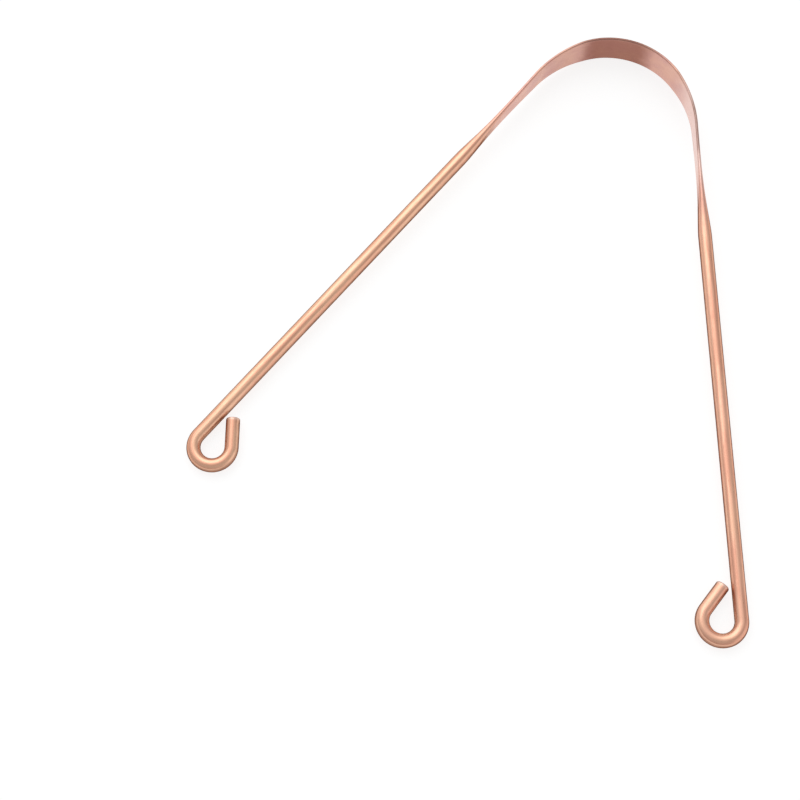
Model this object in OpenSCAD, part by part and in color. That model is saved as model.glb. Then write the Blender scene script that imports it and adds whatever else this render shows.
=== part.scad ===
// Tongue scraper bent from one length of round copper wire.
// The middle of the wire is rolled flat and bowed into the scraping blade, the two round arms
// spread away from it, and each free end is curled into an open eye.
// The pieces below are stretches of that one wire, cut where its section or its bend changes.
// The scraper lies as it would on a table: on the lower edges of its band and on both eyes.

/* [Wire] */
// Diameter of the round wire
wire_d = 3; // [2:0.1:4]
// Width of the band rolled from the wire, from edge to edge
band_w = 8.7; // [6:0.1:9.5]
// Thickness of the rolled band
band_t = 0.7; // [0.6:0.05:1.2]

/* [Bow] */
// Radius of the blade's arc, to the middle of the band
blade_r = 17.9; // [14:0.5:26]
// Turn of the blade from its middle to either end, in degrees
blade_turn = 38; // [25:1:45]
// Radius of the slacker arcs on both sides of the blade
shoulder_r = 24.5; // [20:0.5:34]
// Angle between each arm and the centre line, in degrees
arm_splay = 21.8; // [12:0.5:32]

/* [Arms] */
// Length of the neck, where the band draws in to the round wire
neck_len = 23; // [18:1:34]
// How late the wire grows thick: 1 is a plain wedge
taper_power = 5.5; // [3:0.5:8]
// How early the band draws in: 1 is an even taper
narrow_power = 1.4; // [1:0.1:2]
// Length of the straight round arm
arm_len = 87.5; // [60:0.5:110]

/* [Eyes] */
// Radius of the eye's curl, to the middle of the wire
eye_r = 4.05; // [3.4:0.05:6]
// Turn of the curl, in degrees
eye_turn = 220; // [205:1:235]
// Clearance between the cut end and the arm that it turns back to
eye_gap = 0.4; // [0.2:0.1:1.5]
// Bevel round the cut end
end_bevel = 0.4; // [0.1:0.05:0.5]

/* [Hidden] */

rolled_colour = [0.78, 0.52, 0.44];
drawn_colour = [0.84, 0.60, 0.50];
round_fn = 96;
ring_points = 32;
shoulder_rings = 12;
neck_rings = 26;

// The wire's path is followed from the middle of the bow to the right.
// A turn is the angle, clockwise, that the path has turned through since then.
function ahead(turn) = [cos(turn), -sin(turn)];
function outward(turn) = [sin(turn), cos(turn)];

bow_turn = 90 - arm_splay;
shoulder_turn = bow_turn - blade_turn;
shoulder_len = PI * shoulder_r * shoulder_turn / 180;
taper_len = shoulder_len + neck_len;
blade_centre = -blade_r * outward(0);
shoulder_centre = blade_centre + (blade_r - shoulder_r) * outward(blade_turn);
neck_start = shoulder_centre + shoulder_r * outward(bow_turn);
arm_start = neck_start + neck_len * ahead(bow_turn);
eye_start = arm_start + arm_len * ahead(bow_turn);
eye_centre = eye_start - eye_r * outward(bow_turn);
tail_turn = bow_turn + eye_turn;

// The straight tail runs back towards the arm at this angle and stops a gap short of it.
closing = eye_turn - 180;
tail_reach = eye_r * (1 + cos(closing)) - wire_d / 2 - eye_gap - wire_d / 2 * cos(closing);
tail_len = tail_reach / sin(closing);

// Section of the wire at a share of the taper, from 0 at the blade's end to 1 at the round arm.
// The band draws in early and stays thin for long, then it quickly grows thick.
function thickness(share) = band_t + (wire_d - band_t) * pow(share, taper_power);
function width(share) = wire_d + (band_w - wire_d) * pow(max(0, 1 - share), narrow_power);

// Points round the section: two half circles, one at each edge of the band
function ring(place, turn, share) =
    let (t = thickness(share), edge = (width(share) - t) / 2)
    [for (i = [0:ring_points - 1])
        let (round = 360 * (i + 0.5) / ring_points, out = outward(turn) * t / 2 * cos(round))
        [place.x + out.x, place.y + out.y, t / 2 * sin(round) + edge * sign(sin(round))]];

shoulder_shape = [for (i = [0:shoulder_rings])
    let (turn = blade_turn + shoulder_turn * i / shoulder_rings)
    ring(shoulder_centre + shoulder_r * outward(turn), turn,
        shoulder_len / taper_len * i / shoulder_rings)];
neck_shape = [for (i = [0:neck_rings])
    let (reach = neck_len * i / neck_rings)
    ring(neck_start + reach * ahead(bow_turn), bow_turn, (shoulder_len + reach) / taper_len)];

// How the scraper rests: the tilt about X at which the lowest section of the band comes down to
// the table together with the eyes, then the lift and the shift that put the middle of its
// footprint at the origin.
eye_low_y = eye_centre.y - eye_r;
function rest_angle(place_y, share) =
    let (reach = place_y - eye_low_y, edge = (width(share) - thickness(share)) / 2)
    atan2(edge, reach) + asin((thickness(share) - wire_d) / 2 / norm([reach, edge]));
rest_tilt = max(concat(
    [for (i = [0:shoulder_rings])
        rest_angle(shoulder_centre.y
            + shoulder_r * outward(blade_turn + shoulder_turn * i / shoulder_rings).y,
            shoulder_len / taper_len * i / shoulder_rings)],
    [for (i = [0:neck_rings])
        let (reach = neck_len * i / neck_rings)
        rest_angle(neck_start.y + reach * ahead(bow_turn).y, (shoulder_len + reach) / taper_len)]
));
top_y = (band_w - band_t) / 2 * sin(rest_tilt) + band_t / 2;
bottom_y = eye_low_y * cos(rest_tilt) - wire_d / 2;
rest_shift = -(top_y + bottom_y) / 2;
rest_lift = wire_d / 2 - eye_low_y * sin(rest_tilt);

// Puts what is drawn in the wire's own plane down on the table
module lay() {
    translate([0, rest_shift, rest_lift]) rotate([rest_tilt, 0, 0]) children();
}

// Places a right-hand piece on its own side, or its mirror image on the left
module on_side(side) {
    mirror([side == "left" ? 1 : 0, 0, 0]) children();
}

// Skin over a row of rings that all have the same number of points
module loft(rings) {
    last = len(rings) - 1;
    sides = [for (r = [0:last - 1], i = [0:ring_points - 1])
        let (a = r * ring_points, b = a + ring_points, j = (i + 1) % ring_points)
        [a + i, a + j, b + j, b + i]];
    front = [for (i = [0:ring_points - 1]) ring_points - 1 - i];
    back = [for (i = [0:ring_points - 1]) last * ring_points + i];
    polyhedron([for (r = rings, p = r) p], concat([front], sides, [back]));
}

// Section of the rolled band: flat faces and rounded edges
module band_section() {
    edge = (band_w - band_t) / 2;
    square([band_t, 2 * edge], center = true);
    for (end = [-1, 1]) translate([0, end * edge]) circle(d = band_t, $fn = round_fn);
}

module blade() {
    color(rolled_colour) lay()
        translate(blade_centre) rotate(90 - blade_turn)
            rotate_extrude(angle = 2 * blade_turn, $fn = round_fn)
                translate([blade_r, 0]) band_section();
}

module shoulder(side) {
    color(rolled_colour) lay() on_side(side) loft(shoulder_shape);
}

module neck(side) {
    color(drawn_colour) lay() on_side(side) loft(neck_shape);
}

module arm(side) {
    color(drawn_colour) lay() on_side(side)
        translate(arm_start) rotate(-bow_turn) rotate([0, 90, 0])
            cylinder(h = arm_len, d = wire_d, $fn = round_fn);
}

// Straight end of the wire, cut square and bevelled
module tail() {
    r = wire_d / 2;
    rotate_extrude($fn = round_fn)
        polygon([[0, 0], [r, 0], [r, tail_len - end_bevel], [r - end_bevel, tail_len],
            [0, tail_len]]);
}

module eye(side) {
    color(drawn_colour) lay() on_side(side) translate(eye_centre) rotate(90 - tail_turn) {
        rotate_extrude(angle = eye_turn, $fn = round_fn)
            translate([eye_r, 0]) circle(d = wire_d, $fn = round_fn);
        translate([eye_r, 0, 0]) rotate([90, 0, 0]) tail();
    }
}

blade();
shoulder("left");  // left_shoulder
shoulder("right");  // right_shoulder
neck("left");  // left_neck
neck("right");  // right_neck
arm("left");  // left_arm
arm("right");  // right_arm
eye("left");  // left_eye
eye("right");  // right_eye
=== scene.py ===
"""Tongue scraper bent from one copper wire: a rolled band across the bow, two round arms and
two open eyes, lying on a pale table."""

import math

import bpy
import numpy as np
from mathutils import Matrix, Vector


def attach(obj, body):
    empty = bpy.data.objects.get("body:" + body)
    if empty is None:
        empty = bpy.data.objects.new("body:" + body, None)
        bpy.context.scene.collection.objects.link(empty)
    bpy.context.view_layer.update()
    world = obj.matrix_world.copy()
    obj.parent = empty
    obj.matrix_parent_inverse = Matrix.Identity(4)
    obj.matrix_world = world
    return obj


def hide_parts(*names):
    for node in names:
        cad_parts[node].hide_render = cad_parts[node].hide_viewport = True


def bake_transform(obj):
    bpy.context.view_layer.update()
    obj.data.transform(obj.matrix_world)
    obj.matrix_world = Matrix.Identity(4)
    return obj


bl_info = {
    "name": "Copper Tongue Scraper",
    "version": (1, 0, 0),
    "blender": (4, 5, 0),
    "location": "View3D > Sidebar > Scraper",
    "description": "Bends a copper tongue scraper from one wire and sets it on a table",
    "category": "Add Mesh",
}

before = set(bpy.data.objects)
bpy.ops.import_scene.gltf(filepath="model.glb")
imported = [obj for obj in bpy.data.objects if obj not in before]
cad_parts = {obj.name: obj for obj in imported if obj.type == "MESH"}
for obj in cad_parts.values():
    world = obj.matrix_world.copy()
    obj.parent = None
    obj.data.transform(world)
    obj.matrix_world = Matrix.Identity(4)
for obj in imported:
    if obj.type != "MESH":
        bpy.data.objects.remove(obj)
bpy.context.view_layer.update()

MM = 0.001
RIGHT, LEFT = 1, -1
SIDES = {"right": RIGHT, "left": LEFT}

# How finely the surfaces are drawn: points on the face and round the edge in a quarter of the
# section, and steps along the wire
FACE_POINTS = 7
EDGE_POINTS = 10
BAND_STEP = 0.25 * MM
ARM_STEP = 0.5 * MM
CURL_STEP = math.radians(2.0)

# Angles of the rings round the bevelled end; the last stands twice, as the spare ring there
END_ANGLES = np.radians([22.5, 45.0, 67.5, 90.0, 90.0])

# How fast the points go over from the round wire's spacing to the band's as the section widens
FLAT_RATE = 3

# Edges sharper than this are shaded as corners
SHARP_ANGLE = math.radians(60)

# Steps along a shoulder at which the lowest section of the band is looked for
REST_STEPS = 12

# How far the taper is rounded into the arm, as a share of the growth in thickness
END_ROUNDING = 0.6

# What drawing and bending by hand have left in the surface: its depth, and waves along the wire,
# each with its angle for a mm, its turns round the wire and the angle that it starts at
WORKED_DEPTH = 0.008 * MM
WORKED_WAVES = ((0.31, 1, 0.4), (0.47, 2, 1.9), (0.83, 1, 3.1), (1.27, 3, 5.2), (2.1, 2, 0.7))

# Painted shade on the round wire, standing in for the dark reflections along its outline: on the
# faces that look along the plane of the wire, from and to which share of facing, how much sooner
# on the outside of the bend, and how much
PAINTED_SIDE_SHADE_SPAN = (0.70, 0.93)
PAINTED_SIDE_SHADE_LEAN = 0.04
PAINTED_SIDE_SHADE = 0.62

# Painted shade on the band's edges, standing in for the dark reflections there: from and to which
# share of facing, and for each place between which distances it sets in and ends, in mm along the
# straightened wire from the middle of the bow, and how much there is
PAINTED_EDGE_SHADE_SPAN = (0.20, 0.90)
PAINTED_EDGE_SHADE_PLACES = (
    ((-20.0, -9.0), (4.0, 12.0), 0.5),
    ((14.0, 21.0), (28.0, 38.0), 0.65),
)

# Painted dark reflection on the band, brown about the middle of the bow: the middle of the place,
# from and to which distance from it the brown fades, in the same mm, and how much there is; first
# the dark place, then a faint one
PAINTED_DARK_PLACES = ((-4.0, 4.5, 11.0, 0.74), (-9.0, 8.0, 20.0, 0.18))

# Painted highlight, paler copper on the band's right shoulder and neck: between which places this
# sets in and ends, and how much there is
PAINTED_HIGHLIGHT_PLACE = ((11.0, 20.0), (33.0, 42.0), 0.75)

# Length of the filed end, as a share of the wire's diameter
FILED_SHARE = 0.3

# Noise on the straightened wire, in mm: the scale of its coordinates along and across, its
# fineness, detail and roughness, and where it starts. Its values lie about the middle.
PATTERNS = {
    "lines": ((0.05, 1, 1), 9.0, 4, 0.65, (0, 0, 0)),
    "fine": ((0.12, 1, 1), 26.0, 2, 0.6, (3, 1, 2)),
    "clouds": ((1, 1, 1), 0.16, 3, 0.55, (0, 0, 0)),
    "blotches": ((1, 1.3, 1.3), 0.55, 4, 0.6, (7, 3, 1)),
    "specks": ((1, 1, 1), 2.6, 3, 0.6, (1, 5, 9)),
    "streaks": ((0.05, 1, 1), 1.3, 2, 0.5, (5, 2, 8)),
}
PATTERN_MIDDLE = 0.5

# A fade goes smoothly between two levels of what it reads: from, to, amount before, amount after.
# The clouds bring the warmer tone, and so does the left arm, by its place in mm.
CLOUD_FADE = (0.35, 0.65, 0.0, 0.35)
WARM_FADE = (-60.0, -25.0, 0.7, 0.0)

# The redder streaks, the marks on the cut end, and the painted shade that shows
STREAK_FADE = (0.47, 0.60, 0.0, 0.48)
CUT_FADE = (0.4, 0.7, 0.0, 0.3)
PAINTED_SHADE_FADE = (0.1, 0.9, 0.0, 0.9)

# What the blotches add to the painted shade and, in mm, to the distance from a painted dark place
RAGGED_PAINTED_SHADE = 0.3
RAGGED_BROWN = 3.0

# Brown that the specks and the drawing lines add all over
BROWN_MARKS = (("specks", (0.56, 0.75, 0.0, 0.12)), ("lines", (0.45, 0.75, 0.0, 0.08)))

# Roughness of the copper, and what the patterns, the brown and the filing add to it
ROUGHNESS = 0.32
ROUGH_MARKS = (("lines", (0.3, 0.7, -0.04, 0.05)), ("blotches", (0.35, 0.7, -0.03, 0.05)))
BROWN_ROUGHNESS = 0.10
FILED_ROUGHNESS = 0.12

# Relief of the surface: the share of each pattern, the strength and the depth
RELIEF = (("lines", 0.7), ("fine", 0.35), ("specks", 0.35))
RELIEF_STRENGTH = 0.35
RELIEF_DEPTH = 0.02 * MM

# Tint of a glancing reflection on the wire and on the band where it has no brown or painted
# shade, and how the one goes over into the other as the copper gets flatter and freer of them
WIRE_GLANCE = (0.08, 0.05, 0.04)
BAND_GLANCE = (1, 1, 1)
GLANCE_FADE = (0.0, 0.8)

# Sides of the round table. For the camera and in reflections it gives back this share of the
# light and adds this level, so that it shows white with a faint shadow.
TABLE_SIDES = 96
FLOOR_SHOWN = 0.28
FLOOR_GLOW = 0.80

# The lamps: direction from the scraper, distance and both sides in metres, and level against
# plain white
LAMPS = {
    "key": ((-0.42, 0.50, 0.76), 1.2, (1.15, 1.15), 0.76),
    "fill": ((0.92, -0.14, 0.36), 1.0, (0.80, 0.45), 0.50),
}

# The room: from and to which rise of a direction the white backdrop goes over into the room
# light, the backdrop's level, and the paler ceiling, as a fade of how nearly a direction is the
# key lamp's
BACKDROP_RISE = (0.06, 0.16)
BACKDROP_GLOW = 1.0
CEILING_FADE = (0.45, 0.95, 0.0, 0.45)

# The camera, from the wire's own plane: its turns about X, Y and Z, its distance in front of the
# middle of the bow, its focal length in pixels, the pixel that shows the middle of the bow, the
# width of its sensor in mm, and the nearest distance that it sees
IMAGE_SIDE = 800
FOCAL_PIXELS = 1800
BOW_PIXEL = (633.43, 51.62)
CAMERA_TURNS = (-16.213, -6.949, -18.489)
CAMERA_REACH = 406.86 * MM
SENSOR_WIDTH = 36
CLIP_START = 10 * MM


class ScraperSizes(bpy.types.PropertyGroup):
    """Sizes of the bent wire, the same as the solids have"""

    wire_d: bpy.props.FloatProperty(
        name="Wire", description="Diameter of the round wire", default=3 * MM, unit="LENGTH"
    )
    band_w: bpy.props.FloatProperty(
        name="Band width", description="Width of the rolled band", default=8.7 * MM, unit="LENGTH"
    )
    band_t: bpy.props.FloatProperty(
        name="Band thickness", description="Thickness of the rolled band", default=0.7 * MM,
        unit="LENGTH",
    )
    blade_r: bpy.props.FloatProperty(
        name="Blade radius", description="Radius of the blade's arc, to the middle of the band",
        default=17.9 * MM, unit="LENGTH",
    )
    blade_turn: bpy.props.FloatProperty(
        name="Blade turn", description="Turn of the blade from its middle to either end",
        default=math.radians(38), subtype="ANGLE",
    )
    shoulder_r: bpy.props.FloatProperty(
        name="Shoulder radius", description="Radius of the slacker arcs beside the blade",
        default=24.5 * MM, unit="LENGTH",
    )
    arm_splay: bpy.props.FloatProperty(
        name="Arm splay", description="Angle between each arm and the centre line",
        default=math.radians(21.8), subtype="ANGLE",
    )
    neck_len: bpy.props.FloatProperty(
        name="Neck", description="Length over which the band draws in to the round wire",
        default=23 * MM, unit="LENGTH",
    )
    taper_power: bpy.props.FloatProperty(
        name="Thickening", description="How late the wire grows thick: 1 is a plain wedge",
        default=5.5,
    )
    narrow_power: bpy.props.FloatProperty(
        name="Narrowing", description="How early the band draws in: 1 is an even taper",
        default=1.4,
    )
    arm_len: bpy.props.FloatProperty(
        name="Arm", description="Length of the straight round arm", default=87.5 * MM,
        unit="LENGTH",
    )
    eye_r: bpy.props.FloatProperty(
        name="Eye radius", description="Radius of the eye's curl, to the middle of the wire",
        default=4.05 * MM, unit="LENGTH",
    )
    eye_turn: bpy.props.FloatProperty(
        name="Eye turn", description="Turn of the curl", default=math.radians(220),
        subtype="ANGLE",
    )
    eye_gap: bpy.props.FloatProperty(
        name="Eye gap", description="Clearance between the cut end and the arm",
        default=0.4 * MM, unit="LENGTH",
    )
    end_bevel: bpy.props.FloatProperty(
        name="End bevel", description="Bevel round the cut end", default=0.4 * MM, unit="LENGTH"
    )


class ScraperFinish(bpy.types.PropertyGroup):
    """Colours of the copper"""

    # Darker than the drawn copper; that darkness is painted shade, for the dim reflection on the
    # band
    rolled: bpy.props.FloatVectorProperty(
        name="Rolled copper", description="Colour of the rolled band",
        default=(0.635, 0.34, 0.303), subtype="COLOR", size=3, min=0, max=1,
    )
    drawn: bpy.props.FloatVectorProperty(
        name="Drawn copper", description="Colour of the round wire",
        default=(0.92, 0.51, 0.365), subtype="COLOR", size=3, min=0, max=1,
    )
    warm: bpy.props.FloatVectorProperty(
        name="Warm copper", description="Second tone that the copper wanders to",
        default=(0.93, 0.57, 0.38), subtype="COLOR", size=3, min=0, max=1,
    )
    flushed: bpy.props.FloatVectorProperty(
        name="Flushed copper", description="Colour of the long redder streaks on the round wire",
        default=(0.74, 0.32, 0.22), subtype="COLOR", size=3, min=0, max=1,
    )
    # Painted highlight: the pale colour laid on the band's right shoulder and neck
    painted_highlight_tone: bpy.props.FloatVectorProperty(
        name="Burnished copper", description="Colour of the band where it is rubbed bright",
        default=(0.90, 0.66, 0.60), subtype="COLOR", size=3, min=0, max=1,
    )
    # Also the colour of the painted dark reflection on the bow, besides the real brown specks and
    # lines
    dull: bpy.props.FloatVectorProperty(
        name="Dull copper", description="Colour of the copper that has browned in the air",
        default=(0.375, 0.172, 0.134), subtype="COLOR", size=3, min=0, max=1,
    )
    # Painted shade: the dark colour laid on the round wire's sides and the band's edges
    painted_outline_shade: bpy.props.FloatVectorProperty(
        name="Oxide", description="Colour of the dark oxide on the sides and edges",
        default=(0.20, 0.10, 0.075), subtype="COLOR", size=3, min=0, max=1,
    )
    cut: bpy.props.FloatVectorProperty(
        name="Cut copper", description="Colour of the freshly cut ends",
        default=(0.95, 0.70, 0.60), subtype="COLOR", size=3, min=0, max=1,
    )


class ScraperStage(bpy.types.PropertyGroup):
    """Table and room light"""

    floor_r: bpy.props.FloatProperty(
        name="Table radius", description="Radius of the pale table", default=1.5, unit="LENGTH"
    )
    floor_white: bpy.props.FloatProperty(
        name="Table white", description="Share of light that the table gives back",
        default=0.8, subtype="FACTOR", min=0, max=1,
    )
    sky: bpy.props.FloatProperty(
        name="Room light", description="Level of the plain room light", default=0.50
    )


def settings():
    """Sizes, finish and stage, as the panel shows them."""
    scene = bpy.context.scene
    return scene.scraper_sizes, scene.scraper_finish, scene.scraper_stage


def add_object(name, data):
    """A new object of the scene, at the origin."""
    made = bpy.data.objects.new(name, data)
    bpy.context.scene.collection.objects.link(made)
    return made


def ahead(turn):
    """Direction of the path in the wire's plane: the cosine and minus the sine of its turn."""
    return np.stack([np.cos(turn), -np.sin(turn)], -1)


def outward(turn):
    """Direction from the path towards the outside of the bow: the sine and cosine of its turn."""
    return np.stack([np.sin(turn), np.cos(turn)], -1)


class Bend:
    """The wire's path in its own plane, from the middle of the bow to the right.

    The origin is the middle of the bow and +Y points away from the eyes. Each stretch is an arc
    about a centre or a straight line, and starts where the one before it ends."""

    def __init__(self, sizes):
        self.sizes = s = sizes
        self.bow_turn = math.pi / 2 - s.arm_splay
        self.shoulder_turn = self.bow_turn - s.blade_turn
        self.blade_len = s.blade_r * s.blade_turn
        self.shoulder_len = s.shoulder_r * self.shoulder_turn
        self.taper_len = self.shoulder_len + s.neck_len
        self.blade_centre = -s.blade_r * outward(0.0)
        step = (s.blade_r - s.shoulder_r) * outward(s.blade_turn)
        self.shoulder_centre = self.blade_centre + step
        self.neck_start = self.shoulder_centre + s.shoulder_r * outward(self.bow_turn)
        self.arm_start = self.neck_start + s.neck_len * ahead(self.bow_turn)
        self.eye_start = self.arm_start + s.arm_len * ahead(self.bow_turn)
        self.eye_centre = self.eye_start - s.eye_r * outward(self.bow_turn)
        self.tail_turn = self.bow_turn + s.eye_turn
        self.tail_start = self.eye_centre + s.eye_r * outward(self.tail_turn)
        closing = s.eye_turn - math.pi
        reach = s.eye_r * (1 + math.cos(closing)) - s.eye_gap
        reach -= s.wire_d / 2 * (1 + math.cos(closing))
        self.tail_len = reach / math.sin(closing)
        self.rest()

    def section(self, share):
        """Thickness and width of the wire at a share of the taper, 0 at the band and 1 at the
        arm.

        The thickness grows as a power of the share, and the width falls as another power of
        what is left of it: the band draws in early and stays thin for long. The growth is
        rounded where it ends: the lesser of the power and 1, less a quarter of the rounding
        times the square of how near the two are."""
        s = self.sizes
        share = np.clip(share, 0, None)
        grown = share**s.taper_power
        near = np.clip(1 - np.abs(grown - 1) / END_ROUNDING, 0, 1)
        grown = np.minimum(grown, 1) - END_ROUNDING * near**2 / 4
        thick = s.band_t + (s.wire_d - s.band_t) * grown
        left = 1 - np.minimum(share, 1)
        return thick, s.wire_d + (s.band_w - s.wire_d) * left**s.narrow_power

    def rest(self):
        """How the scraper lies: the tilt about X that brings the lowest section of the band down
        to the table together with the eyes, then the shift and the lift of the footprint."""
        s = self.sizes
        low = self.eye_centre[1] - s.eye_r
        steps = np.arange(REST_STEPS + 1) / REST_STEPS
        turns = s.blade_turn + self.shoulder_turn * steps
        places = self.shoulder_centre + s.shoulder_r * outward(turns)
        thick, width = self.section(self.shoulder_len / self.taper_len * steps)
        reach, edge = places[:, 1] - low, (width - thick) / 2
        lean = np.arctan2(edge, reach)
        lean += np.arcsin((thick - s.wire_d) / 2 / np.hypot(reach, edge))
        tilt = float(lean.max())
        top = (s.band_w - s.band_t) / 2 * math.sin(tilt) + s.band_t / 2
        bottom = low * math.cos(tilt) - s.wire_d / 2
        shift, lift = -(top + bottom) / 2, s.wire_d / 2 - low * math.sin(tilt)
        self.lay = Matrix.Translation((0, shift, lift)) @ Matrix.Rotation(tilt, 4, "X")

    def tilted(self, directions):
        """Directions in the wire's plane, as they point when it lies on the table."""
        return directions @ np.array(self.lay)[:3, :3].T

    def laid(self, points):
        """Points of the wire's plane, put down on the table."""
        return self.tilted(points) + np.array(self.lay)[:3, 3]


class Stretch:
    """Rings along one part of the path, with one spare ring at each end that gives the slope
    there: the middle of each ring, its turn, its thickness and width, and its reach, which is
    the distance along the wire from the middle of the bow."""

    def __init__(self, bend, kind):
        s = bend.sizes
        self.bend = bend
        arm_end = bend.blade_len + bend.taper_len + s.arm_len
        arcs = {
            "blade": (bend.blade_centre, s.blade_r, -s.blade_turn, s.blade_turn,
                      -bend.blade_len),
            "shoulder": (bend.shoulder_centre, s.shoulder_r, s.blade_turn, bend.bow_turn,
                         bend.blade_len),
            "curl": (bend.eye_centre, s.eye_r, bend.bow_turn, bend.tail_turn, arm_end),
        }
        lines = {
            "neck": (bend.neck_start, bend.bow_turn, s.neck_len,
                     bend.blade_len + bend.shoulder_len),
            "arm": (bend.arm_start, bend.bow_turn, s.arm_len, bend.blade_len + bend.taper_len),
            "tail": (bend.tail_start, bend.tail_turn, bend.tail_len - s.end_bevel,
                     arm_end + s.eye_r * s.eye_turn),
        }
        if kind in arcs:
            centre, radius, first, last, start = arcs[kind]
            step = CURL_STEP if kind == "curl" else BAND_STEP / radius
            share = self.shares((last - first) / step)
            self.turn = first + (last - first) * share
            self.place = centre + radius * outward(self.turn)
            self.reach = start + radius * (self.turn - first)
        else:
            origin, turn, length, start = lines[kind]
            share = self.shares(length / (ARM_STEP if kind == "arm" else BAND_STEP))
            self.turn = np.full(len(share), turn)
            self.place = origin + length * share[:, None] * ahead(turn)
            self.reach = start + length * share
        taper = (np.abs(self.reach) - bend.blade_len) / bend.taper_len
        self.thick, self.width = bend.section(taper)

    @staticmethod
    def shares(count):
        """Even shares from 0 to 1 in about count steps, and one more step at each end."""
        count = max(2, round(count))
        return np.arange(-1, count + 2) / count

    def join(self, other):
        """This stretch with the next one after it; the ring that they share is kept once."""
        for name in ("turn", "place", "reach", "thick", "width"):
            mine, its = getattr(self, name), getattr(other, name)
            setattr(self, name, np.concatenate([mine[:-1], its[2:]]))
        return self

    def round_end(self, bevel):
        """A quarter round past the last ring in place of the spare ring: each ring goes on by the
        sine of an angle and draws in by one minus its cosine, times the bevel."""
        on, draw = bevel * np.sin(END_ANGLES), bevel * (1 - np.cos(END_ANGLES))
        last = -2
        end = self.place[last] + on[:, None] * ahead(self.turn[last])
        self.place = np.concatenate([self.place[:-1], end])
        self.reach = np.concatenate([self.reach[:-1], self.reach[last] + on])
        for name in ("thick", "width"):
            size = getattr(self, name)
            setattr(self, name, np.concatenate([size[:-1], size[last] - 2 * draw]))
        self.turn = np.concatenate([self.turn[:-1], np.full(len(on), self.turn[last])])
        return self


def around(thick, width):
    """Outline of the section and its facing, one row per ring: out of the bend, and up.

    The outline is a strip with half-round edges. A quarter of it goes up the outer face and
    round the edge to the top; the other three are its mirror images. On the band the points are
    shared between face and edge, on the round wire they are even, and between the two they go by
    the flatness of the section."""
    face, edge = (width - thick)[:, None] / 2, math.pi * thick[:, None] / 4
    count = FACE_POINTS + EDGE_POINTS
    banded = np.concatenate([
        np.arange(FACE_POINTS) / FACE_POINTS * face,
        face + np.arange(EDGE_POINTS + 1) / EDGE_POINTS * edge,
    ], 1)
    even = np.arange(count + 1) / count * (face + edge)
    flatness = np.clip(FLAT_RATE * (width - thick) / width, 0, 1)[:, None]
    way = flatness * banded + (1 - flatness) * even
    radius = thick[:, None] / 2
    angle = np.clip(way - face, 0, None) / radius
    rise = np.minimum(way, face) + radius * np.sin(angle)

    def loop(values, out_sign, up_sign):
        up, down = values[:, :-1], values[:, :0:-1]
        return np.concatenate(
            [up, out_sign * down, out_sign * up_sign * up, up_sign * down], 1
        )

    return (loop(radius * np.cos(angle), -1, 1), loop(rise, 1, -1),
            loop(np.cos(angle), -1, 1), loop(np.sin(angle), 1, -1))


def worked(reach, angle):
    """How deep drawing and hand bending have left the surface, in metres and never outwards: a
    sum of slow waves along the wire, each of which also turns round it."""
    depth = sum(np.sin(pitch * reach / MM + turns * angle + start)
                for pitch, turns, start in WORKED_WAVES)
    return -WORKED_DEPTH * (1 + depth / len(WORKED_WAVES))


def smooth(value, low, high):
    """0 up to low, 1 from high on, and three times the square less twice the cube between."""
    share = np.clip((value - low) / (high - low), 0, 1)
    return share * share * (3 - 2 * share)


def skin(stretch, side, outline):
    """Points and smooth normals of one stretch, ring after ring, laid on the table.

    A point is the middle of its ring, plus its distance out of the bend along the outward
    direction, plus its height along the plane's normal, plus the worked depth along its facing.
    A normal is the cross product of the steps round and along the grid, so that two stretches
    that meet shade as one."""
    out, up, face_out, face_up = outline
    count = out.shape[1]
    angle = 2 * math.pi * np.arange(count) / count
    depth = worked(side * stretch.reach[:, None], angle[None])
    radial = outward(stretch.turn)[:, None]
    flat = stretch.place[:, None] + (out + depth * face_out)[..., None] * radial
    points = np.concatenate([flat, (up + depth * face_up)[..., None]], 2)
    step_round = np.roll(points, -1, 1) - np.roll(points, 1, 1)
    step_along = points[2:] - points[:-2]
    normals = np.cross(step_round[1:-1], step_along)
    normals /= np.linalg.norm(normals, axis=2, keepdims=True)
    mirror = np.array([side, 1, 1])
    points = stretch.bend.laid(points[1:-1].reshape(-1, 3) * mirror)
    return points, stretch.bend.tilted(normals.reshape(-1, 3) * mirror)


def end_normals(stretch, side):
    """Facing of both ends: against the path where it starts and along it where it ends."""
    heading = np.concatenate([ahead(stretch.turn[[1, -2]]), np.zeros((2, 1))], 1)
    mirror = np.array([side, 1, 1])
    return stretch.bend.tilted(heading * np.array([[-1], [1]]) * mirror)


def closed_mesh(name, stretch, side, outline):
    """Mesh of one stretch: a face between every four neighbours of its grid of points, and one
    face across each end."""
    points, normals = skin(stretch, side, outline)
    rings, count = len(stretch.turn) - 2, outline[0].shape[1]
    first = np.arange((rings - 1) * count).reshape(rings - 1, count)
    after = np.roll(first, -1, 1)
    quads = np.stack([first, after, after + count, first + count], 2).reshape(-1, 4)
    around_end = np.arange(count)
    ends = np.stack([around_end[::-1], around_end + (rings - 1) * count])
    if side == LEFT:
        quads, ends = quads[:, ::-1], ends[:, ::-1]
    mesh = bpy.data.meshes.new(name)
    mesh.from_pydata(points.tolist(), [], quads.tolist() + ends.tolist())
    mesh.shade_smooth()
    mesh.set_sharp_from_angle(angle=SHARP_ANGLE)
    facing = np.repeat(end_normals(stretch, side), count, axis=0)
    mesh.normals_split_custom_set(np.concatenate([normals[quads.ravel()], facing]).tolist())
    return mesh


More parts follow.
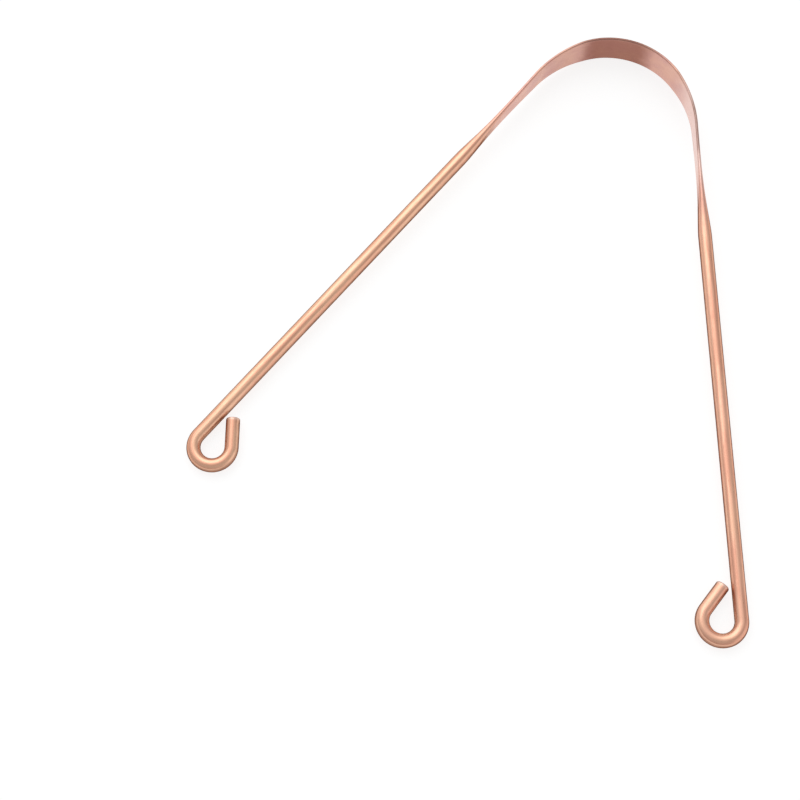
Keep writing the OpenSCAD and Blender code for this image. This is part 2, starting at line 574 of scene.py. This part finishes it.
def mark(mesh, stretch, side, outline, cut_end):
    """What the copper reads at each point: its place on the straightened wire in mm, how much
    painted shade darkens its sides and edges, how flat the wire is rolled there and how far its
    end is filed."""
    out, up, face_out, face_up = (values[1:-1] for values in outline)
    reach, grid = stretch.reach[1:-1], out.shape
    straight = np.stack([np.broadcast_to(side * reach[:, None], grid), out, up], 2) / MM
    rolled = np.broadcast_to((1 - stretch.thick / stretch.width)[1:-1, None], grid)
    # Painted shade: darker on the round wire's sides that look along its plane and on the band's
    # edges
    aside = np.abs(face_out) + PAINTED_SIDE_SHADE_LEAN * face_out
    painted_outline_shade = PAINTED_SIDE_SHADE * (1 - rolled) * smooth(aside, *PAINTED_SIDE_SHADE_SPAN)
    on_edges = rolled * smooth(np.abs(face_up), *PAINTED_EDGE_SHADE_SPAN)
    for sets_in, ends, amount in PAINTED_EDGE_SHADE_PLACES:
        along = smooth(straight[..., 0], *sets_in) - smooth(straight[..., 0], *ends)
        painted_outline_shade += amount * on_edges * along
    to_end = (stretch.reach[-1] - reach) / (FILED_SHARE * stretch.bend.sizes.wire_d)
    filed = np.broadcast_to(smooth(1 - to_end, 0, 1)[:, None] * cut_end, grid)
    for label, values, kind, field in (
        ("straight", straight, "FLOAT_VECTOR", "vector"),
        ("painted_outline_shade", painted_outline_shade, "FLOAT", "value"),
        ("rolled", rolled, "FLOAT", "value"),
        ("filed", filed, "FLOAT", "value"),
    ):
        attribute = mesh.attributes.new(label, kind, "POINT")
        attribute.data.foreach_set(field, np.ascontiguousarray(values, np.float32).ravel())


def forge(name, stretch, side, materials, cut_end):
    """One stretch of the wire as a closed piece; a cut end has the second material."""
    outline = around(stretch.thick, stretch.width)
    mesh = closed_mesh(name, stretch, side, outline)
    for material in materials:
        mesh.materials.append(material)
    if cut_end:
        mesh.polygons[-1].material_index = 1
    mark(mesh, stretch, side, outline, cut_end)
    mesh.validate(clean_customdata=False)
    return add_object(name, mesh)


class Nodes:
    """Short ways to fill the shader tree of a material or a world, which is emptied first. A
    value is the output of a node, or a plain number or colour."""

    def __init__(self, owner):
        owner.use_nodes = True
        tree = owner.node_tree
        tree.nodes.clear()
        self.new = tree.nodes.new
        self.link = tree.links.new

    def feed(self, socket, value):
        if isinstance(value, bpy.types.NodeSocket):
            self.link(value, socket)
        elif socket.type == "RGBA":
            socket.default_value = (*value, 1)
        else:
            socket.default_value = value

    def attribute(self, label, output="Fac"):
        found = self.new("ShaderNodeAttribute")
        found.attribute_name = label
        return found.outputs[output]

    def axis(self, vector, name):
        found = self.new("ShaderNodeSeparateXYZ")
        self.link(vector, found.inputs["Vector"])
        return found.outputs[name]

    def noise(self, where, scale, fineness, detail, roughness, start):
        mapping = self.new("ShaderNodeMapping")
        self.feed(mapping.inputs["Scale"], scale)
        self.feed(mapping.inputs["Location"], start)
        self.link(where, mapping.inputs["Vector"])
        found = self.new("ShaderNodeTexNoise")
        self.feed(found.inputs["Scale"], fineness)
        self.feed(found.inputs["Detail"], detail)
        self.feed(found.inputs["Roughness"], roughness)
        self.link(mapping.outputs["Vector"], found.inputs["Vector"])
        return found.outputs["Fac"]

    def fade(self, value, low, high, before=0.0, after=1.0):
        """From one amount to the other as the value goes from low to high, with soft ends."""
        found = self.new("ShaderNodeMapRange")
        found.interpolation_type = "SMOOTHSTEP"
        self.feed(found.inputs["Value"], value)
        for label, number in (("From Min", low), ("From Max", high),
                              ("To Min", before), ("To Max", after)):
            found.inputs[label].default_value = number
        return found.outputs["Result"]

    def combine(self, operation, *values):
        found = self.new("ShaderNodeMath")
        found.operation = operation
        for socket, value in zip(found.inputs, values):
            self.feed(socket, value)
        return found.outputs["Value"]

    def mix(self, share, first, second):
        found = self.new("ShaderNodeMix")
        found.data_type = "RGBA"
        self.feed(found.inputs["Factor"], share)
        for label, value in (("A", first), ("B", second)):
            socket = next(s for s in found.inputs if s.name == label and s.type == "RGBA")
            self.feed(socket, value)
        return next(s for s in found.outputs if s.type == "RGBA")

    def diffuse(self, level):
        found = self.new("ShaderNodeBsdfDiffuse")
        self.feed(found.inputs["Color"], (level,) * 3)
        return found.outputs["BSDF"]

    def surface(self, shader, kind="ShaderNodeOutputMaterial"):
        self.link(shader, self.new(kind).inputs["Surface"])


def marks_and_painted_shade(nodes, pattern, along):
    """How brown the copper is, and how much painted shade darkens it.

    A brown place is a painted dark reflection and fades with the distance from its middle.
    Blotches make its limits ragged, and those of the painted shade, and specks and drawing lines
    are a little browner all over."""
    uneven = nodes.combine("SUBTRACT", pattern["blotches"], PATTERN_MIDDLE)
    ragged = nodes.combine("MULTIPLY", uneven, RAGGED_BROWN)
    brown = 0.0
    for middle, inside, outside, amount in PAINTED_DARK_PLACES:
        away = nodes.combine("ABSOLUTE", nodes.combine("SUBTRACT", along, middle))
        away = nodes.combine("ADD", away, ragged)
        brown = nodes.combine("MAXIMUM", nodes.fade(away, inside, outside, amount, 0.0), brown)
    for label, fade in BROWN_MARKS:
        brown = nodes.combine("ADD", brown, nodes.fade(pattern[label], *fade))
    ragged = nodes.combine("MULTIPLY", uneven, RAGGED_PAINTED_SHADE)
    dark = nodes.combine("ADD", nodes.attribute("painted_outline_shade"), ragged)
    return brown, nodes.fade(dark, *PAINTED_SHADE_FADE)


def wire_tone(nodes, pattern, along, flat, filed, brown, dark):
    """Colour of the wire: the drawn tone, with the others laid over it in turn."""
    finish = settings()[1]
    warmth = nodes.combine("MAXIMUM", nodes.fade(pattern["clouds"], *CLOUD_FADE),
                           nodes.fade(along, *WARM_FADE))
    flush = nodes.combine("MULTIPLY", nodes.fade(pattern["streaks"], *STREAK_FADE),
                          nodes.combine("SUBTRACT", 1.0, flat))
    # Painted highlight, paler on the band's right shoulder and neck
    sets_in, ends, amount = PAINTED_HIGHLIGHT_PLACE
    painted_highlight = nodes.combine("SUBTRACT", nodes.fade(along, *sets_in, 0.0, amount),
                           nodes.fade(along, *ends, 0.0, amount))
    colour = finish.drawn
    # Laid on as colour: the rolled tone's painted shade, the painted highlight, the brown's
    # painted dark reflection and the painted shade
    for share, tone in (
        (flat, finish.rolled),
        (warmth, finish.warm),
        (flush, finish.flushed),
        (painted_highlight, finish.painted_highlight_tone),
        (brown, finish.dull),
        (dark, finish.painted_outline_shade),
        (filed, finish.cut),
    ):
        colour = nodes.mix(share, colour, tone)
    return colour


def cut_tone(nodes, pattern):
    """Colour of a cut end: fresh copper with a few dull specks."""
    finish = settings()[1]
    return nodes.mix(nodes.fade(pattern["specks"], *CUT_FADE), finish.cut, finish.dull)


def copper(name, cut_end):
    """Satin copper.

    Its colour goes from the drawn to the darker rolled tone with the flatness of the wire; the
    rolled tone's darkness is painted shade. It wanders slowly towards a warmer one and is warmer
    on the left arm. Long redder streaks run along the round wire, and a painted highlight
    lightens the band on the right. A painted dark reflection browns one place on the band, and
    painted shade darkens the round wire's sides and the band's edges. Only the rolled band, where
    it is neither, brightens at a glancing view. Fine drawing lines run lengthwise. Every pattern
    reads the place on the straightened wire, so it follows the bends and crosses the joins."""
    material = bpy.data.materials.new(name)
    nodes = Nodes(material)
    straight = nodes.attribute("straight", "Vector")
    pattern = {label: nodes.noise(straight, *shape) for label, shape in PATTERNS.items()}
    along = nodes.axis(straight, "X")
    flat, filed = nodes.attribute("rolled"), nodes.attribute("filed")
    brown, dark = marks_and_painted_shade(nodes, pattern, along)
    if cut_end:
        colour = cut_tone(nodes, pattern)
    else:
        colour = wire_tone(nodes, pattern, along, flat, filed, brown, dark)

    rough = ROUGHNESS
    for label, fade in ROUGH_MARKS:
        rough = nodes.combine("ADD", rough, nodes.fade(pattern[label], *fade))
    for share, more in ((brown, BROWN_ROUGHNESS), (filed, FILED_ROUGHNESS)):
        rough = nodes.combine("ADD", rough, nodes.combine("MULTIPLY", share, more))

    height = 0.0
    for label, share in RELIEF:
        height = nodes.combine("ADD", height, nodes.combine("MULTIPLY", pattern[label], share))
    bump = nodes.new("ShaderNodeBump")
    nodes.feed(bump.inputs["Strength"], RELIEF_STRENGTH)
    nodes.feed(bump.inputs["Distance"], RELIEF_DEPTH)
    nodes.feed(bump.inputs["Height"], height)

    plain_band = nodes.combine("SUBTRACT", flat, nodes.combine("MAXIMUM", brown, dark))
    glance = nodes.mix(nodes.fade(plain_band, *GLANCE_FADE), WIRE_GLANCE, BAND_GLANCE)
    shader = nodes.new("ShaderNodeBsdfPrincipled")
    nodes.feed(shader.inputs["Metallic"], 1.0)
    nodes.feed(shader.inputs["Base Color"], colour)
    nodes.feed(shader.inputs["Roughness"], rough)
    nodes.feed(shader.inputs["Normal"], bump.outputs["Normal"])
    nodes.feed(shader.inputs["Specular Tint"], glance)
    nodes.surface(shader.outputs["BSDF"])
    return material


def finish_of(slot):
    """The material for one slot, made the first time that it is asked for."""
    name = f"satin_{slot}"
    if name in bpy.data.materials:
        return bpy.data.materials[name]
    return copper(name, slot == "cut_copper")


def add_piece(name, stretch, side, node, finish="drawn_copper", cut_end=False):
    """A piece that stands for one CAD node and has its slot's finish."""
    materials = [finish_of(finish)] + ([finish_of("cut_copper")] if cut_end else [])
    piece = forge(name, stretch, side, materials, cut_end)
    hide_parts(node)
    return piece


class SCRAPER_OT_blade(bpy.types.Operator):
    """Rolled blade in the middle of the bow"""

    bl_idname = "scraper.blade"
    bl_label = "Blade"

    def execute(self, context):
        bend = Bend(settings()[0])
        piece = add_piece("rolled_blade", Stretch(bend, "blade"), RIGHT, "blade",
                          "rolled_copper")
        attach(piece, "bow")
        return {"FINISHED"}


class SCRAPER_OT_shoulders(bpy.types.Operator):
    """Slacker arcs beside the blade, where the bow flexes"""

    bl_idname = "scraper.shoulders"
    bl_label = "Shoulders"

    def execute(self, context):
        bend = Bend(settings()[0])
        for label, side in SIDES.items():
            stretch = Stretch(bend, "shoulder")
            piece = add_piece(f"{label}_springy_shoulder", stretch, side, f"{label}_shoulder",
                              "rolled_copper")
            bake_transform(piece)
        return {"FINISHED"}


class SCRAPER_OT_necks(bpy.types.Operator):
    """Necks, where the band draws in to the round wire"""

    bl_idname = "scraper.necks"
    bl_label = "Necks"

    def execute(self, context):
        bend = Bend(settings()[0])
        for label, side in SIDES.items():
            piece = add_piece(f"{label}_drawn_neck", Stretch(bend, "neck"), side,
                              f"{label}_neck")
            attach(piece, f"{label}_side")
        return {"FINISHED"}


class SCRAPER_OT_arms(bpy.types.Operator):
    """Straight round arms"""

    bl_idname = "scraper.arms"
    bl_label = "Arms"

    def execute(self, context):
        bend = Bend(settings()[0])
        for label, side in SIDES.items():
            piece = add_piece(f"{label}_round_arm", Stretch(bend, "arm"), side, f"{label}_arm")
            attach(piece, f"{label}_side")
        return {"FINISHED"}


class SCRAPER_OT_eyes(bpy.types.Operator):
    """Open eyes: curl, straight tail and cut end"""

    bl_idname = "scraper.eyes"
    bl_label = "Eyes"

    def execute(self, context):
        sizes = settings()[0]
        bend = Bend(sizes)
        for label, side in SIDES.items():
            stretch = Stretch(bend, "curl").join(Stretch(bend, "tail"))
            stretch.round_end(sizes.end_bevel)
            piece = add_piece(f"{label}_open_eye", stretch, side, f"{label}_eye", cut_end=True)
            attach(piece, f"{label}_side")
        return {"FINISHED"}


def camera_frame(bend):
    """The camera's place and turns: it is turned about X, then Y, then Z against the wire's
    plane, and the middle of the bow stands at its pixel, CAMERA_REACH in front of it."""
    turn = Matrix.Identity(3)
    for angle, axis in zip(CAMERA_TURNS, "XYZ"):
        turn = Matrix.Rotation(math.radians(angle), 3, axis) @ turn
    half = IMAGE_SIDE / 2
    seen = Vector((BOW_PIXEL[0] - half, half - BOW_PIXEL[1], -FOCAL_PIXELS))
    seen *= CAMERA_REACH / FOCAL_PIXELS
    place = turn.transposed().to_4x4()
    place.translation = -(turn.transposed() @ seen)
    return bend.lay @ place


class SCRAPER_OT_stage(bpy.types.Operator):
    """Table, lamps, room light and camera"""

    bl_idname = "scraper.stage"
    bl_label = "Table, lamps and camera"

    def execute(self, context):
        sizes, _, stage = settings()
        scene = context.scene
        self.add_table(stage)
        self.add_room(scene, stage)
        for name, lamp in LAMPS.items():
            self.add_lamp(name, *lamp)
        camera = bpy.data.cameras.new("camera")
        camera.sensor_width = SENSOR_WIDTH
        camera.lens = FOCAL_PIXELS / IMAGE_SIDE * SENSOR_WIDTH
        camera.clip_start = CLIP_START
        holder = add_object("camera", camera)
        holder.matrix_world = camera_frame(Bend(sizes))
        scene.camera = holder
        scene.view_settings.view_transform = "Standard"
        return {"FINISHED"}

    @staticmethod
    def add_table(stage):
        """A disc: points at even angles on a circle, closed by one face that looks up."""
        angle = np.linspace(0, 2 * math.pi, TABLE_SIDES, endpoint=False)
        ring = np.stack([np.cos(angle), np.sin(angle), 0 * angle], 1) * stage.floor_r
        mesh = bpy.data.meshes.new("table")
        mesh.from_pydata(ring.tolist(), [], [list(range(TABLE_SIDES))])
        material = bpy.data.materials.new("table_white")
        nodes = Nodes(material)
        rays = nodes.new("ShaderNodeLightPath").outputs
        seen = nodes.combine("MAXIMUM", rays["Is Camera Ray"], rays["Is Glossy Ray"])
        seen = nodes.combine("MAXIMUM", seen, rays["Is Transmission Ray"])
        glow = nodes.new("ShaderNodeEmission")
        nodes.feed(glow.inputs["Strength"], FLOOR_GLOW)
        shown = nodes.new("ShaderNodeAddShader")
        nodes.link(nodes.diffuse(FLOOR_SHOWN), shown.inputs[0])
        nodes.link(glow.outputs["Emission"], shown.inputs[1])
        pick = nodes.new("ShaderNodeMixShader")
        nodes.link(seen, pick.inputs["Fac"])
        nodes.link(nodes.diffuse(stage.floor_white), pick.inputs[1])
        nodes.link(shown.outputs["Shader"], pick.inputs[2])
        nodes.surface(pick.outputs["Shader"])
        mesh.materials.append(material)
        add_object("table", mesh)

    @staticmethod
    def add_room(scene, stage):
        """Plain room light: a white backdrop low round the table, a greyer room above it, and a
        paler ceiling round the key lamp."""
        world = bpy.data.worlds.new("room")
        scene.world = world
        nodes = Nodes(world)
        where = nodes.new("ShaderNodeTexCoord").outputs["Generated"]
        facing = nodes.new("ShaderNodeVectorMath")
        facing.operation = "DOT_PRODUCT"
        nodes.link(where, facing.inputs[0])
        facing.inputs[1].default_value = Vector(LAMPS["key"][0]).normalized()
        room = nodes.fade(nodes.axis(where, "Z"), *BACKDROP_RISE, BACKDROP_GLOW, stage.sky)
        ceiling = nodes.fade(facing.outputs["Value"], *CEILING_FADE)
        glow = nodes.new("ShaderNodeBackground")
        nodes.feed(glow.inputs["Color"], (1, 1, 1))
        nodes.feed(glow.inputs["Strength"], nodes.combine("ADD", room, ceiling))
        nodes.surface(glow.outputs["Background"], "ShaderNodeOutputWorld")

    @staticmethod
    def add_lamp(name, towards, distance, size, level):
        """A flat lamp that faces the scraper, as bright as level times plain white: its power is
        pi times its area times that level."""
        lamp = bpy.data.lights.new(name, "AREA")
        lamp.shape = "RECTANGLE"
        lamp.size, lamp.size_y = size
        lamp.energy = math.pi * size[0] * size[1] * level
        holder = add_object(name, lamp)
        direction = Vector(towards).normalized()
        holder.location = direction * distance
        holder.rotation_euler = direction.to_track_quat("Z", "Y").to_euler()


class SCRAPER_PT_panel(bpy.types.Panel):
    """Sizes, finish and stage of the scraper"""

    bl_idname = "SCRAPER_PT_panel"
    bl_label = "Tongue scraper"
    bl_space_type = "VIEW_3D"
    bl_region_type = "UI"
    bl_category = "Scraper"

    def draw(self, context):
        for group in settings():
            box = self.layout.box()
            for prop in group.bl_rna.properties:
                if prop.identifier not in ("rna_type", "name"):
                    box.prop(group, prop.identifier)
        for operator in OPERATORS:
            self.layout.operator(operator.bl_idname)


OPERATORS = (
    SCRAPER_OT_blade,
    SCRAPER_OT_shoulders,
    SCRAPER_OT_necks,
    SCRAPER_OT_arms,
    SCRAPER_OT_eyes,
    SCRAPER_OT_stage,
)
GROUPS = {
    "scraper_sizes": ScraperSizes,
    "scraper_finish": ScraperFinish,
    "scraper_stage": ScraperStage,
}


def register():
    for item in (*GROUPS.values(), *OPERATORS, SCRAPER_PT_panel):
        bpy.utils.register_class(item)
    for label, group in GROUPS.items():
        setattr(bpy.types.Scene, label, bpy.props.PointerProperty(type=group))


def unregister():
    for label in GROUPS:
        delattr(bpy.types.Scene, label)
    for item in (SCRAPER_PT_panel, *reversed(OPERATORS), *reversed(GROUPS.values())):
        bpy.utils.unregister_class(item)


def main():
    register()
    bpy.ops.scraper.blade()
    bpy.ops.scraper.shoulders()
    bpy.ops.scraper.necks()
    bpy.ops.scraper.arms()
    bpy.ops.scraper.eyes()
    bpy.ops.scraper.stage()


if __name__ == "__main__":
    main()
